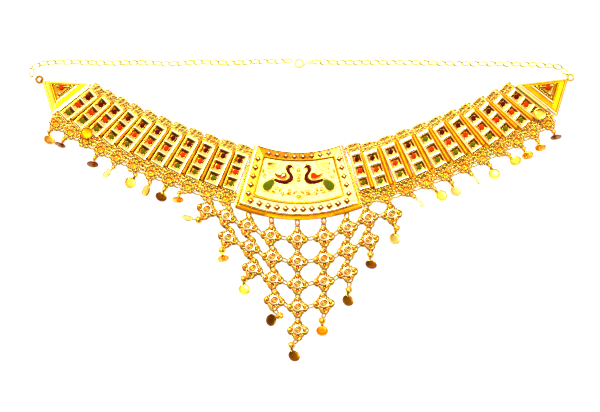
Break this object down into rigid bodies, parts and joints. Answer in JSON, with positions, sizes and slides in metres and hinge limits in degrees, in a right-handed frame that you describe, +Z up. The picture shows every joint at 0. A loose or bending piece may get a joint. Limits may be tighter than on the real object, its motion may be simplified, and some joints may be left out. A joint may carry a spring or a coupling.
{
  "type": "choker necklace",
  "caption": "Enamelled gold bridal choker laid out flat: peacock plaque, hinged bar links, flower lattice bib, coin drops and a back chain.",
  "frame": {"origin": "on the surface the necklace lies on, under the middle of its whole outline", "axes": "+X runs along the spread wings towards the wearer's left, +Y from the bib to the back chain, +Z up off the surface"},
  "size_m": [0.2102, 0.1178, 0.0046],
  "materials": {
    "yellow_gold": "polished and hand-finished high-carat yellow gold, with granulation and wire work",
    "pale_gold": "bright polished lighter yellow gold chain",
    "matte_gold": "fine sandblasted pale gold field behind the peacocks",
    "maroon_enamel": "glossy translucent maroon enamel, slightly domed",
    "orange_enamel": "glossy opaque red-orange enamel, slightly domed",
    "green_enamel": "glossy translucent leaf-green enamel, slightly domed"
  },
  "bodies": {
    "root": {"chain_left": "pale_gold", "chain_right": "pale_gold", "clasp": "pale_gold", "drop_left_03": "yellow_gold", "drop_left_04": "yellow_gold", "drop_left_05": "yellow_gold", "drop_left_06": "yellow_gold", "drop_left_07": "yellow_gold", "drop_left_08": "yellow_gold", "drop_left_10": "yellow_gold", "drop_left_11": "yellow_gold", "drop_right_03": "yellow_gold", "drop_right_04": "yellow_gold", "drop_right_05": "yellow_gold", "drop_right_06": "yellow_gold", "drop_right_07": "yellow_gold", "drop_right_08": "yellow_gold", "drop_right_09": "yellow_gold", "drop_right_10": "yellow_gold", "drop_right_11": "yellow_gold", "end_cap_left": "yellow_gold", "end_cap_right": "yellow_gold", "lattice_centre": "yellow_gold", "lattice_m1": "yellow_gold", "lattice_m2": "yellow_gold", "lattice_m3": "yellow_gold", "lattice_m4": "yellow_gold", "lattice_p1": "yellow_gold", "lattice_p2": "yellow_gold", "lattice_p3": "yellow_gold", "lattice_p4": "yellow_gold", "link_left_01": "yellow_gold", "link_left_02": "yellow_gold", "link_left_03": "yellow_gold", "link_left_04": "yellow_gold", "link_left_05": "yellow_gold", "link_left_06": "yellow_gold", "link_left_07": "yellow_gold", "link_left_08": "yellow_gold", "link_left_09": "yellow_gold", "link_left_10": "yellow_gold", "link_left_11": "yellow_gold", "link_right_01": "yellow_gold", "link_right_02": "yellow_gold", "link_right_03": "yellow_gold", "link_right_04": "yellow_gold", "link_right_05": "yellow_gold", "link_right_06": "yellow_gold", "link_right_07": "yellow_gold", "link_right_08": "yellow_gold", "link_right_09": "yellow_gold", "link_right_10": "yellow_gold", "link_right_11": "yellow_gold", "plaque": "yellow_gold", "turned_coin_left": "yellow_gold", "turned_coin_right": "yellow_gold"}
  },
  "joints": []
}
